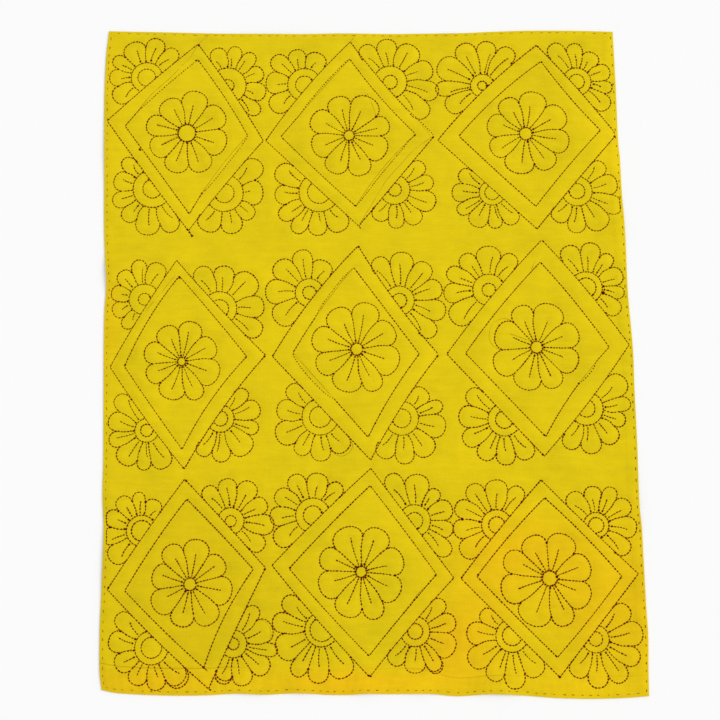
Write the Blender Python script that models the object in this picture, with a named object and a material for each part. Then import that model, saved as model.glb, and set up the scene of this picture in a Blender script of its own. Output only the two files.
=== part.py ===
"""A kantha quilt, laid flat and face up: one sheet of layered cotton with its edges turned in.

Running stitches draw three rows of three tall double diamonds, with an eight-petal flower inside
each one and half a flower on each of its sides. A row of stitches pulls the face down, and the
cloth puffs up between the rows. The edges wander and ripple a little, and the hems are thicker.

Every size below is in millimetres, measured from the middle of the quilt: x to the right, y to
the top, and z up from the surface that it lies on. The mesh is made in metres.
"""

import math
import random
from collections import namedtuple

import bmesh
import bpy
from mathutils import Vector
from mathutils.geometry import delaunay_2d_cdt
from mathutils.kdtree import KDTree

MM = 0.001

# How thick the layers are where nothing holds them, on a row of stitches and at the folded edge
PUFFED = 2.7
STITCHED = 1.4
EDGE_FOLD = 1.8
PULL_REACH = 10  # how far from a row of stitches the cloth is back at its full height
FOLD_ROUNDING = 1.4  # how far in from the outline the folded edge's round reaches

# The bottom hem is deep and the right one narrow. Each is one more turn of the cloth. The bottom
# one's depth is a smooth curve through its stations, (x, depth).
BOTTOM_HEM = ((-407, 40), (-226, 40), (-91, 35), (69, 38), (131, 28), (201, 28), (341, 33),
              (432, 31))
RIGHT_HEM = 18
HEM_RISE = 0.5
HEM_STEP = 4

# How closely the solid's points follow the outline, the straight rows of stitches and the round
# ones, and how far apart the free points between the rows are
OUTLINE_PACE = 18
STRAIGHT_PACE = 28
ROUND_PACE = 12.5
CROWN_PACE = 23
CROWN_GAP = 8  # least distance from a free point to a row of stitches or to another free point
ROW_INSET = 5  # least distance from a row of stitches to the outline
SAME_POINT = 0.7
HEM_PACE = 30
UNDERSIDE_PACE = 24  # where it is lifted
FLAT_PACE = 150  # where it lies flat
SAMPLE_PACE = 2  # along a stitched row, to tell how far from it the cloth is

# How many steps a curve is worked out in, before points are picked along it
SIDE_STEPS = 32
ARC_STEPS = 20
PETAL_EDGE_STEPS = 6
PETAL_HEAD_STEPS = 24

# The outline: each edge is a smooth curve through its stations, (along, across).
LEFT_EDGE = ((-526, -407), (-500, -411), (-430, -413), (-376, -412), (-284, -412), (-230, -415.5),
             (-175, -416), (17, -421.5), (66, -422), (98, -420.5), (120, -420.5), (148, -423.5),
             (198, -427), (316, -430.5), (419, -433.9), (495, -433.3), (538, -430))
RIGHT_EDGE = ((-535, 432), (-496, 432.5), (-445, 434), (-400, 432.5), (-330, 431), (-284, 430),
              (-245, 427), (-160, 427.5), (-64, 426.3), (1, 426), (66, 422.5), (98, 421),
              (165, 420.3), (215, 418.8), (265, 416.8), (316, 415.8), (350, 413.8), (436, 413),
              (488, 412), (537, 411))
TOP_EDGE = ((-430, 538), (-399, 537.3), (-332, 536), (-248, 533.8), (-148, 532.7), (-106, 532.6),
            (-40, 534.2), (36, 533.2), (86, 533.6), (169, 535), (203, 536.7), (270, 538.8),
            (353, 538.6), (411, 537))
BOTTOM_EDGE = ((-407, -526), (-382, -530.5), (-305, -534), (-244, -533.5), (-198, -531),
               (-152, -532.5), (-106, -530.3), (-60, -533), (-29, -533), (1, -531), (32, -532),
               (93, -531.4), (139, -535), (190, -531.6), (231, -533.3), (292, -537.7),
               (345, -538.9), (400, -537.3), (432, -535))

# Ripples that lift the cloth off the surface near an edge. `at` is the place along the edge and
# `reach` how far the ripple runs into the cloth.
Ripple = namedtuple("Ripple", "edge at half_width rise reach")
RIPPLES = (
    Ripple("left", 125, 42, 3.0, 80),
    Ripple("left", -330, 90, 1.6, 60),
    Ripple("left", 330, 80, 1.4, 60),
    Ripple("right", -240, 70, 2.4, 70),
    Ripple("right", 205, 60, 1.8, 60),
    Ripple("top", -150, 120, 1.6, 60),
    Ripple("bottom", -180, 48, 2.0, 80),
    Ripple("bottom", -103, 30, 2.4, 70),
    Ripple("bottom", -3, 36, 2.6, 80),
    Ripple("bottom", 80, 40, 1.6, 70),
    Ripple("bottom", 200, 52, 3.2, 90),
)

# What is stitched. A diamond has its corners, clockwise from the left one, and how far the middle
# of each side bows out, from the upper left side on. A flower has the radius of its eye, the reach
# of its petals to the right, top, left and bottom, and the angle of its first petal's edge.
# A fan is half a flower on a side of the outer diamond: its middle's share of the side and distance
# outside it, the radii of its two arcs, its count of petals and their reach at the side's end,
# in the middle and at the side's start. The seed makes the petals as uneven as drawn by hand.
Diamond = namedtuple("Diamond", "left top right bottom bows")
Flower = namedtuple("Flower", "centre eye reach turn seed")
Fan = namedtuple("Fan", "share out inner outer petals reach seed")
Cell = namedtuple("Cell", "outer inner flower fans")
CELLS = {
    "top left": Cell(
        Diamond((-428, 382), (-281, 515), (-170, 348), (-290, 196), (2, 3, -2, 1)),
        Diamond((-398, 373), (-281, 488), (-196, 357), (-289, 224), (6, 3, -5, 0)),
        Flower((-296, 361), 15, (68, 71, 67, 72), 96, 4481),
        (
            Fan(0.49, 11, 15, 26, 6, (69, 70, 61), 235),
            Fan(0.44, -1, 11, 31, 6, (70, 67, 65), 4408),
            Fan(0.56, 8, 16, 31, 5, (76, 59, 79), 59),
            Fan(0.40, 5, 16, 32, 6, (66, 72, 80), 1931),
        ),
    ),
    "top middle": Cell(
        Diamond((-166, 348), (-27, 519), (111, 356), (-13, 204), (6, -5, 0, 0)),
        Diamond((-141, 355), (-28, 489), (81, 359), (-18, 237), (1, -4, -6, 1)),
        Flower((-29, 357), 9, (70, 74, 65, 74), 85, 2873),
        (
            Fan(0.52, 6, 15, 28, 5, (57, 67, 68), 6496),
            Fan(0.45, 10, 12, 28, 6, (84, 78, 73), 7439),
            Fan(0.57, 7, 11, 25, 6, (54, 74, 63), 3492),
            Fan(0.41, 3, 19, 33, 6, (77, 75, 72), 8109),
        ),
    ),
    "top right": Cell(
        Diamond((117, 349), (283, 513), (411, 358), (277, 199), (7, 3, -1, 0)),
        Diamond((152, 356), (290, 485), (385, 366), (276, 237), (6, -3, -2, 1)),
        Flower((262, 360), 11, (76, 72, 66, 72), 99, 1972),
        (
            Fan(0.51, 7, 8, 20, 6, (79, 79, 74), 599),
            Fan(0.45, 7, 13, 24, 6, (69, 55, 82), 3341),
            Fan(0.56, 11, 13, 25, 6, (60, 77, 65), 7351),
            Fan(0.43, 5, 12, 21, 6, (60, 66, 60), 363),
        ),
    ),
    "middle left": Cell(
        Diamond((-410, -27), (-308, 147), (-162, -8), (-288, -189), (3, -2, -6, 3)),
        Diamond((-387, -26), (-303, 121), (-192, -10), (-292, -158), (6, 1, -7, 1)),
        Flower((-296, -18), 7, (60, 66, 60, 68), 92, 4772),
        (
            Fan(0.60, 8, 10, 25, 6, (69, 58, 56), 7851),
            Fan(0.50, -1, 15, 28, 5, (80, 73, 75), 2600),
            Fan(0.56, 6, 12, 22, 6, (71, 66, 62), 3275),
            Fan(0.42, 9, 10, 19, 6, (71, 63, 66), 8342),
        ),
    ),
    "centre": Cell(
        Diamond((-151, -10), (-14, 171), (115, -7), (6, -175), (7, -5, -5, 0)),
        Diamond((-118, -4), (-21, 135), (84, -6), (2, -139), (4, 0, -4, 0)),
        Flower((-16, 2), 10, (67, 77, 72, 75), 93, 4772),
        (
            Fan(0.52, 9, 11, 23, 5, (57, 76, 68), 3332),
            Fan(0.51, 6, 12, 24, 6, (83, 75, 83), 985),
            Fan(0.59, 10, 15, 27, 6, (64, 78, 58), 8687),
            Fan(0.46, 11, 17, 29, 6, (66, 75, 63), 8538),
        ),
    ),
    "middle right": Cell(
        Diamond((128, -6), (284, 181), (420, 9), (280, -169), (4, 4, 4, 0)),
        Diamond((158, -5), (281, 144), (388, 5), (283, -138), (4, 3, -6, 0)),
        Flower((272, 5), 10, (70, 76, 72, 75), 93, 7307),
        (
            Fan(0.51, 10, 11, 26, 6, (73, 74, 79), 4420),
            Fan(0.48, 2, 16, 26, 6, (68, 61, 82), 2132),
            Fan(0.55, 3, 14, 27, 6, (76, 65, 79), 4317),
            Fan(0.38, 6, 14, 26, 6, (75, 74, 69), 1671),
        ),
    ),
    "bottom left": Cell(
        Diamond((-403, -375), (-287, -205), (-158, -342), (-243, -524), (2, 1, -1, 3)),
        Diamond((-376, -377), (-283, -236), (-177, -344), (-251, -493), (3, 1, -7, 2)),
        Flower((-275, -367), 10, (65, 68, 61, 69), 101, 722),
        (
            Fan(0.50, 7, 16, 24, 6, (53, 63, 62), 5988),
            Fan(0.52, 8, 9, 21, 6, (64, 66, 65), 1468),
            Fan(0.62, 6, 9, 21, 6, (61, 67, 69), 6476),
            Fan(0.49, 13, 16, 26, 6, (77, 55, 76), 7211),
        ),
    ),
    "bottom middle": Cell(
        Diamond((-148, -338), (6, -188), (135, -357), (4, -506), (2, 0, -2, 3)),
        Diamond((-121, -343), (5, -215), (108, -352), (3, -475), (2, 1, -1, 2)),
        Flower((-9, -348), 9, (71, 75, 67, 73), 87, 3098),
        (
            Fan(0.46, 9, 15, 27, 6, (64, 72, 68), 1993),
            Fan(0.50, 5, 13, 25, 6, (74, 57, 82), 3087),
            Fan(0.51, 10, 12, 23, 6, (57, 72, 60), 2280),
            Fan(0.45, 5, 18, 26, 6, (79, 80, 81), 1038),
        ),
    ),
    "bottom right": Cell(
        Diamond((146, -358), (274, -206), (422, -351), (296, -507), (2, -1, 0, 0)),
        Diamond((171, -355), (279, -234), (396, -355), (293, -477), (3, 3, 2, 1)),
        Flower((284, -358), 12, (69, 73, 75, 76), 87, 8251),
        (
            Fan(0.50, 7, 13, 24, 6, (69, 76, 67), 1993),
            Fan(0.53, 10, 12, 20, 6, (63, 66, 60), 7400),
            Fan(0.60, 8, 11, 21, 6, (63, 76, 72), 5824),
            Fan(0.45, 7, 15, 25, 6, (56, 79, 72), 3351),
        ),
    ),
}

FLOWER_PETALS = 8
FLOWER_SWAY = 6.5  # degrees that a petal's edge may stand off its even place
FAN_SWAY = 5.5
FLOWER_UNEVEN = 0.05  # share by which a petal's reach may differ
FAN_UNEVEN = 0.06
FLOWER_NOTCH = 0.73  # where two petals meet, as a share of their reach
FAN_NOTCH = 0.74
PETAL_BEND = 4.0  # degrees that a petal's edge may curve, and that its vein may lean
FLOWER_VEIN = (3, 0.6, 0.76)  # where a vein starts off the eye, and the shares of the reach where
FAN_VEIN = (4, 0.68, 0.8)     # it may end
HEAD_POWER = 2.3  # these two shape a petal's rounded end
HEAD_ROUNDNESS = 0.56
FULLEST = (0.55, 0.8)  # where a petal puffs up most, as shares of its reach


def lerp(a, b, share):
    return a + (b - a) * share


def polar(centre, radius, degrees):
    angle = math.radians(degrees)
    return (centre[0] + radius * math.cos(angle), centre[1] + radius * math.sin(angle))


def between(values, share):
    """The value at a share, from 0 to 1, of the way along evenly spread values."""
    place = max(0.0, min(0.999999, share)) * (len(values) - 1)
    first = int(place)
    return lerp(values[first], values[first + 1], place - first)


def smooth(stations, along):
    """The height at `along` of a smooth curve through (along, height) stations."""
    last = len(stations) - 1
    i = 0
    while i < last - 1 and along > stations[i + 1][0]:
        i += 1

    def slope(k):
        before, after = stations[max(k - 1, 0)], stations[min(k + 1, last)]
        return (after[1] - before[1]) / (after[0] - before[0])

    (x0, y0), (x1, y1) = stations[i], stations[i + 1]
    width = x1 - x0
    t = max(0.0, min(1.0, (along - x0) / width))
    rise = t * t * (3 - 2 * t)
    bend = slope(i) * t * (1 - t) ** 2 - slope(i + 1) * t * t * (1 - t)
    return lerp(y0, y1, rise) + width * bend


def bell(share):
    """1 in the middle, falling smoothly to 0 at a share of 1 to either side."""
    return math.cos(math.pi / 2 * share) ** 2 if abs(share) < 1 else 0.0


def ramp(share):
    """Smoothly from 0 to 1."""
    t = max(0.0, min(1.0, share))
    return t * t * (3 - 2 * t)


def evenly(points, pace):
    """The line through the points again, with points at an even pace and both ends kept."""
    lengths = [0.0]
    for a, b in zip(points, points[1:]):
        lengths.append(lengths[-1] + math.dist(a, b))
    count = max(1, round(lengths[-1] / pace))
    result, k = [], 0
    for i in range(count + 1):
        at = lengths[-1] * i / count
        while k < len(points) - 2 and lengths[k + 1] < at:
            k += 1
        share = (at - lengths[k]) / (lengths[k + 1] - lengths[k])
        result.append((lerp(points[k][0], points[k + 1][0], share),
                       lerp(points[k][1], points[k + 1][1], share)))
    return result


# The cloth's shape


def from_edge(edge, x, y):
    """How far along an edge a point is, and how far in from it."""
    if edge == "left":
        return y, x - smooth(LEFT_EDGE, y)
    if edge == "right":
        return y, smooth(RIGHT_EDGE, y) - x
    if edge == "top":
        return x, smooth(TOP_EDGE, x) - y
    return x, y - smooth(BOTTOM_EDGE, x)


def lift(x, y):
    """How far the ripples hold the underside off the surface."""
    height = 0.0
    for ripple in RIPPLES:
        along, inward = from_edge(ripple.edge, x, y)
        height += (ripple.rise * bell((along - ripple.at) / ripple.half_width)
                   * bell(max(0.0, inward) / ripple.reach))
    return height


def hem(x, y):
    """What the turned hems add."""
    above_bottom = from_edge("bottom", x, y)[1]
    inside_right = from_edge("right", x, y)[1]
    return HEM_RISE * max(ramp((smooth(BOTTOM_HEM, x) - above_bottom) / HEM_STEP + 0.5),
                          ramp((RIGHT_HEM - inside_right) / HEM_STEP + 0.5))


def face_height(x, y, to_stitches):
    """The height of the quilt's face, which dips at the stitches."""
    return lift(x, y) + hem(x, y) + lerp(STITCHED, PUFFED, ramp(to_stitches / PULL_REACH))


def outline():
    """Points round the quilt, anticlockwise from its bottom left corner."""
    bottom = [(x, smooth(BOTTOM_EDGE, x)) for x in range(BOTTOM_EDGE[0][0], BOTTOM_EDGE[-1][0] + 1)]
    right = [(smooth(RIGHT_EDGE, y), y) for y in range(RIGHT_EDGE[0][0], RIGHT_EDGE[-1][0] + 1)]
    top = [(x, smooth(TOP_EDGE, x)) for x in range(TOP_EDGE[0][0], TOP_EDGE[-1][0] + 1)]
    left = [(smooth(LEFT_EDGE, y), y) for y in range(LEFT_EDGE[0][0], LEFT_EDGE[-1][0] + 1)]
    ring = []
    for side in (bottom, right, top[::-1], left[::-1]):
        ring += evenly(side, OUTLINE_PACE)[:-1]
    return ring


def inside(ring, distance):
    """The ring again, moved in by a distance."""
    moved = []
    for i, (x, y) in enumerate(ring):
        before, after = ring[i - 1], ring[(i + 1) % len(ring)]
        dx, dy = after[0] - before[0], after[1] - before[1]
        length = math.hypot(dx, dy)
        moved.append((x - dy / length * distance, y + dx / length * distance))
    return moved


# The stitched rows, each as (kind, points). A crown or a crest isn't stitched: it is where the
# cloth between the rows stands highest.


def side_points(diamond, side):
    """The points along one side of a diamond, 0 being the upper left one."""
    corners = diamond[:4]
    (x0, y0), (x1, y1) = corners[side], corners[(side + 1) % 4]
    length = math.dist((x0, y0), (x1, y1))
    points = []
    for i in range(SIDE_STEPS + 1):
        t = i / SIDE_STEPS
        bow = diamond.bows[side] * 4 * t * (1 - t) / length
        points.append((lerp(x0, x1, t) - (y1 - y0) * bow, lerp(y0, y1, t) + (x1 - x0) * bow))
    return points


def arc(centre, radius, start, end):
    return [polar(centre, radius, lerp(start, end, i / ARC_STEPS)) for i in range(ARC_STEPS + 1)]


def petal_edge(centre, angle, start, end, bend):
    points = []
    for i in range(PETAL_EDGE_STEPS + 1):
        share = i / PETAL_EDGE_STEPS
        points.append(polar(centre, lerp(start, end, share),
                            angle + bend * math.sin(math.pi * share)))
    return points


def petal_head(centre, angles, notches, reach):
    """A petal's rounded end, from one notch to the next."""
    points = []
    for i in range(PETAL_HEAD_STEPS + 1):
        u = math.sin(math.pi * (i / PETAL_HEAD_STEPS - 0.5))
        share = (u + 1) / 2
        foot = lerp(*notches, share)
        swell = (1 - abs(u) ** HEAD_POWER) ** HEAD_ROUNDNESS
        points.append(polar(centre, foot + (reach - foot) * swell, lerp(*angles, share)))
    return points


def petals(centre, start, angles, notches, reaches, vein, chance, closed):
    """The edges, heads and veins of a row of petals, and where each one is fullest."""
    rows = []
    for i, reach in enumerate(reaches):
        if i or closed:
            bend = chance.uniform(-PETAL_BEND, PETAL_BEND)
            rows.append(("round", petal_edge(centre, angles[i], start, notches[i], bend)))
        rows.append(("round", petal_head(centre, angles[i:i + 2], notches[i:i + 2], reach)))
        middle = (angles[i] + angles[i + 1]) / 2
        lean = middle + chance.uniform(-PETAL_BEND, PETAL_BEND)
        rows.append(("vein", [polar(centre, start + vein[0], lean),
                              polar(centre, reach * chance.uniform(*vein[1:]), lean)]))
        rows.append(("crown", [polar(centre, share * reach, middle) for share in FULLEST]))
    return rows


def flower_rows(flower):
    chance = random.Random(flower.seed)
    step = 360 / FLOWER_PETALS
    angles = [flower.turn + i * step + chance.uniform(-FLOWER_SWAY, FLOWER_SWAY)
              for i in range(FLOWER_PETALS)]
    angles.append(angles[0] + 360)
    around = flower.reach + flower.reach[:1]
    reaches = []
    for i in range(FLOWER_PETALS):
        middle = (angles[i] + angles[i + 1]) / 2 % 360
        uneven = 1 + chance.uniform(-FLOWER_UNEVEN, FLOWER_UNEVEN)
        reaches.append(between(around, middle / 360) * uneven)
    notches = [FLOWER_NOTCH * (reaches[i - 1] + reaches[i]) / 2 for i in range(FLOWER_PETALS)]
    notches.append(notches[0])
    eye = [("round", arc(flower.centre, flower.eye, 0, 360)), ("crown", [flower.centre])]
    return eye + petals(flower.centre, flower.eye, angles, notches, reaches, FLOWER_VEIN, chance,
                        True)


def fan_rows(fan, diamond, side):
    chance = random.Random(fan.seed)
    (x0, y0), (x1, y1) = diamond[:4][side], diamond[:4][(side + 1) % 4]
    length = math.dist((x0, y0), (x1, y1))
    bow = diamond.bows[side] * 4 * fan.share * (1 - fan.share)
    outward = (fan.out + bow) / length
    centre = (lerp(x0, x1, fan.share) - (y1 - y0) * outward,
              lerp(y0, y1, fan.share) + (x1 - x0) * outward)
    base = math.degrees(math.atan2(y1 - y0, x1 - x0))

    def dip(radius):
        """How much further round than a half turn a circle meets the diamond's side."""
        return math.degrees(math.asin(min(1.0, fan.out / radius)))

    reaches = []
    for i in range(fan.petals):
        uneven = 1 + chance.uniform(-FAN_UNEVEN, FAN_UNEVEN)
        reaches.append(between(fan.reach, (i + 0.5) / fan.petals) * uneven)
    ends = [reaches[0]] + reaches + [reaches[-1]]
    notches = [FAN_NOTCH * (a + b) / 2 for a, b in zip(ends, ends[1:])]
    first, last = base - dip(notches[0]), base + 180 + dip(notches[-1])
    step = (last - first) / fan.petals
    angles = [first + i * step + chance.uniform(-FAN_SWAY, FAN_SWAY)
              for i in range(1, fan.petals)]
    angles = [first] + angles + [last]
    arcs = [("round", arc(centre, radius, base - dip(radius), base + 180 + dip(radius)))
            for radius in (fan.inner, fan.outer)]
    middle = ("crown", [polar(centre, fan.inner / 2, base + 90)])
    return [*arcs, middle] + petals(centre, fan.outer, angles, notches, reaches, FAN_VEIN, chance,
                                    False)


def stitched_rows():
    rows = []
    for cell in CELLS.values():
        for side in range(4):
            outer, inner = side_points(cell.outer, side), side_points(cell.inner, side)
            crest = [(lerp(a[0], b[0], 0.5), lerp(a[1], b[1], 0.5)) for a, b in zip(outer, inner)]
            rows += [("straight", outer), ("straight", inner), ("crest", crest)]
        rows += flower_rows(cell.flower)
        for side, fan in enumerate(cell.fans):
            rows += fan_rows(fan, cell.outer, side)
    return rows


# The mesh


def keep_in(x, y):
    """The point itself, or the nearest place that is not too close to an edge."""
    x = max(smooth(LEFT_EDGE, y) + ROW_INSET, min(smooth(RIGHT_EDGE, y) - ROW_INSET, x))
    y = max(smooth(BOTTOM_EDGE, x) + ROW_INSET, min(smooth(TOP_EDGE, x) - ROW_INSET, y))
    return x, y


def tree_of(points):
    tree = KDTree(len(points))
    for i, (x, y) in enumerate(points):
        tree.insert((x, y, 0), i)
    tree.balance()
    return tree


def free_points(pace, allowed):
    """A staggered grid over the quilt, where a test allows a point."""
    found = []
    row_height = pace * math.sqrt(3) / 2
    rows = int(TOP_EDGE[0][1] / row_height)
    columns = int(RIGHT_EDGE[0][1] / pace) + 1
    for j in range(-rows, rows + 1):
        for i in range(-columns, columns + 1):
            x, y = (i + j % 2 / 2) * pace, j * row_height
            if keep_in(x, y) == (x, y) and allowed(x, y):
                found.append((x, y))
    return found


def hem_lines():
    """The two sides of the step at each hem's inner edge."""
    left, right = BOTTOM_EDGE[0][0] + ROW_INSET, BOTTOM_EDGE[-1][0] - RIGHT_HEM - ROW_INSET
    low = RIGHT_EDGE[0][0] + BOTTOM_HEM[-1][1] + ROW_INSET
    high = RIGHT_EDGE[-1][0] - ROW_INSET
    lines = []
    for step in (-HEM_STEP / 2, HEM_STEP / 2):
        lines.append([(x, smooth(BOTTOM_EDGE, x) + smooth(BOTTOM_HEM, x) + step)
                      for x in range(left, right, HEM_PACE)])
        lines.append([(smooth(RIGHT_EDGE, y) - RIGHT_HEM - step, y)
                      for y in range(low, high, HEM_PACE)])
    return lines


def triangulate(ring, rows, singles):
    """Triangles that fill the ring, with the rows among their edges: points and index triples."""
    points = list(ring)
    edges = []
    for row in rows:
        start = len(points)
        points += row
        edges += [(i, i + 1) for i in range(start, start + len(row) - 1)]
    points += singles
    made = delaunay_2d_cdt([Vector(p) for p in points], edges, [list(range(len(ring)))], 1,
                           SAME_POINT)
    return made[0], made[2], made[3]


def add_sheet(mesh, ring_size, filled, height, face_up):
    """Adds one side of the cloth and returns the vertices of its ring, in the ring's order."""
    points, triangles, origins = filled
    verts = [mesh.verts.new((x * MM, y * MM, height(x, y) * MM)) for x, y in points]
    for triangle in triangles:
        corners = [verts[i] for i in triangle]
        mesh.faces.new(corners if face_up else corners[::-1])
    at_ring = {}
    for vert, origin in zip(verts, origins):
        for i in origin:
            if i < ring_size:
                at_ring[i] = vert
    return [at_ring[i] for i in range(ring_size)]


def build_quilt():
    rows, crowns, sampled = [], [], []
    for kind, points in stitched_rows():
        if kind == "crown":
            crowns += points
        if kind in ("crown", "vein"):  # the veins are too short and close to show in the solid
            continue
        points = [keep_in(*p) for p in points]
        if kind != "crest":
            sampled += evenly(points, SAMPLE_PACE)
        rows.append(evenly(points, ROUND_PACE if kind == "round" else STRAIGHT_PACE))
    stitches = tree_of(sampled)

    def to_stitches(x, y):
        return stitches.find((x, y, 0))[2]

    crown_tree = tree_of(crowns)
    crowns += free_points(CROWN_PACE, lambda x, y: to_stitches(x, y) > CROWN_GAP
                          and crown_tree.find((x, y, 0))[2] > CROWN_GAP)
    edge = outline()
    ring = inside(edge, FOLD_ROUNDING)
    face = triangulate(ring, rows + hem_lines(), crowns)
    resting = free_points(FLAT_PACE, lambda x, y: lift(x, y) == 0)
    lifted = free_points(UNDERSIDE_PACE, lambda x, y: lift(x, y) > 0)
    underside = triangulate(ring, [], resting + lifted)
    near_edge = tree_of(ring)

    def top(x, y):
        if near_edge.find((x, y, 0))[2] < SAME_POINT:
            return lift(x, y) + EDGE_FOLD
        return face_height(x, y, to_stitches(x, y))

    mesh = bmesh.new()
    upper = add_sheet(mesh, len(ring), face, top, True)
    lower = add_sheet(mesh, len(ring), underside, lift, False)
    middle = [mesh.verts.new((x * MM, y * MM, (lift(x, y) + EDGE_FOLD / 2) * MM)) for x, y in edge]
    for i in range(len(edge)):
        j = (i + 1) % len(edge)
        mesh.faces.new((middle[i], middle[j], upper[j], upper[i]))
        mesh.faces.new((lower[i], lower[j], middle[j], middle[i]))
    return mesh


def yellow_cotton():
    material = bpy.data.materials.new("yellow_cotton")
    material.use_nodes = True
    shader = material.node_tree.nodes["Principled BSDF"]
    shader.inputs["Base Color"].default_value = (0.75, 0.57, 0.012, 1)
    shader.inputs["Roughness"].default_value = 0.9
    shader.inputs["Metallic"].default_value = 0
    return material


def main():
    for old in list(bpy.data.objects):
        bpy.data.objects.remove(old)
    collection = bpy.data.collections.new("kantha quilt")
    bpy.context.scene.collection.children.link(collection)
    data = bpy.data.meshes.new("quilt")
    mesh = build_quilt()
    mesh.to_mesh(data)
    mesh.free()
    data.shade_smooth()
    data.materials.append(yellow_cotton())
    collection.objects.link(bpy.data.objects.new("quilt", data))


main()
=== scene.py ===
"""The looks of a kantha quilt that lies flat, face up: its cloth, its stitches and drawn guide
lines, and the floor, lights and camera that it is seen with.

Running stitches draw three rows of three tall double diamonds, with an eight-petal flower inside
each one and half a flower on each of its sides. Sizes are in millimetres from the quilt's middle,
x to the right, y to the top and z up from the floor, as in the solid that the cloth stands for.
Meshes, lights and the camera are in metres.
"""

import math
import random
from collections import namedtuple

import bpy
import numpy as np
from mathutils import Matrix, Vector, noise
from mathutils.bvhtree import BVHTree
from mathutils.kdtree import KDTree

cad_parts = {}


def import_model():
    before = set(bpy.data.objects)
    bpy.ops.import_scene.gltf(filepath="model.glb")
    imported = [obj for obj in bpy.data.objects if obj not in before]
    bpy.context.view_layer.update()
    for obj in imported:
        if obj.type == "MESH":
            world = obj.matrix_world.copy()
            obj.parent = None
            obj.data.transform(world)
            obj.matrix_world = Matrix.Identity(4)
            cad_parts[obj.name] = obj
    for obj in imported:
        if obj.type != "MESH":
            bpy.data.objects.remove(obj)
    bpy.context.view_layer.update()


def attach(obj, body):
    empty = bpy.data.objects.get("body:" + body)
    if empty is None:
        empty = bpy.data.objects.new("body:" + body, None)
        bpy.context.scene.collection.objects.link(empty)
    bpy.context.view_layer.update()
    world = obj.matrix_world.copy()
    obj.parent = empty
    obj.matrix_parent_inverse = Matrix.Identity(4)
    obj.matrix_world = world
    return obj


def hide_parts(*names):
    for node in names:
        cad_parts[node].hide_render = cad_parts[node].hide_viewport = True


MM = 0.001

# How thick the layers are where nothing holds them, on a row of stitches and at the folded edge
PUFFED = 2.7
STITCHED = 1.7
EDGE_FOLD = 1.8
PULL_REACH = 10  # how far from a row of stitches the cloth is back at its full height
FOLD_ROUNDING = 1.4  # how far in from the outline the folded edge's round reaches
EDGE_REACH = 7  # how far in from the round the cloth is at its own thickness
UNDER_PULL = 0.5  # how far a row of stitches lifts the underside
UNDER_REACH = 7
SAMPLE_PACE = 1.5  # along a stitched row, to tell how far from it the cloth is

# The bottom hem is deep and the right one narrow. Each is one more turn of the cloth. The bottom
# one's depth is a smooth curve through its stations, (x, depth).
BOTTOM_HEM = ((-407, 40), (-226, 40), (-91, 35), (69, 38), (131, 28), (201, 28), (341, 33),
              (432, 31))
RIGHT_HEM = 18
HEM_RISE = 0.5
HEM_STEP = 4
# How plainly the bottom hem's inner edge shows, as a dip and a painted shade line, at stations (x,
# share)
HEM_SHOWS = ((-407, 1.0), (-225, 0.9), (-180, 0.2), (30, 0.2), (75, 0.65), (190, 0.65), (240, 0.25),
             (432, 0.3))

# The outline: each edge is a smooth curve through its stations, (along, across), picked from
# places of the edge that were measured on the photo.
LEFT_EDGE = ((-526, -407), (-500, -411), (-430, -413), (-376, -412), (-284, -412), (-230, -415.5),
             (-175, -416), (17, -421.5), (66, -422), (98, -420.5), (120, -420.5), (148, -423.5),
             (198, -427), (316, -430.5), (419, -433.9), (495, -433.3), (538, -430))
RIGHT_EDGE = ((-535, 432), (-496, 432.5), (-445, 434), (-400, 432.5), (-330, 431), (-284, 430),
              (-245, 427), (-160, 427.5), (-64, 426.3), (1, 426), (66, 422.5), (98, 421),
              (165, 420.3), (215, 418.8), (265, 416.8), (316, 415.8), (350, 413.8), (436, 413),
              (488, 412), (537, 411))
TOP_EDGE = ((-430, 538), (-399, 537.3), (-332, 536), (-248, 533.8), (-148, 532.7), (-106, 532.6),
            (-40, 534.2), (36, 533.2), (86, 533.6), (169, 535), (203, 536.7), (270, 538.8),
            (353, 538.6), (411, 537))
BOTTOM_EDGE = ((-407, -526), (-382, -530.5), (-305, -534), (-244, -533.5), (-198, -531),
               (-152, -532.5), (-106, -530.3), (-60, -533), (-29, -533), (1, -531), (32, -532),
               (93, -531.4), (139, -535), (190, -531.6), (231, -533.3), (292, -537.7),
               (345, -538.9), (400, -537.3), (432, -535))

# Whether an edge's stations run up the quilt, and which way from it the cloth lies
Edge = namedtuple("Edge", "line upright inward")
EDGES = {
    "bottom": Edge(BOTTOM_EDGE, False, 1),
    "right": Edge(RIGHT_EDGE, True, -1),
    "top": Edge(TOP_EDGE, False, -1),
    "left": Edge(LEFT_EDGE, True, 1),
}

# Ripples that lift the cloth off the surface near an edge. `at` is the place along the edge and
# `reach` how far the ripple runs into the cloth.
Ripple = namedtuple("Ripple", "edge at half_width rise reach")
RIPPLES = (
    Ripple("left", 125, 42, 3.0, 80),
    Ripple("left", -330, 90, 1.6, 60),
    Ripple("left", 330, 80, 1.4, 60),
    Ripple("right", -240, 70, 2.4, 70),
    Ripple("right", 205, 60, 1.8, 60),
    Ripple("top", -150, 120, 1.6, 60),
    Ripple("bottom", -180, 48, 2.0, 80),
    Ripple("bottom", -103, 30, 2.4, 70),
    Ripple("bottom", -3, 36, 2.6, 80),
    Ripple("bottom", 80, 40, 1.6, 70),
    Ripple("bottom", 200, 52, 3.2, 90),
)

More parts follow.
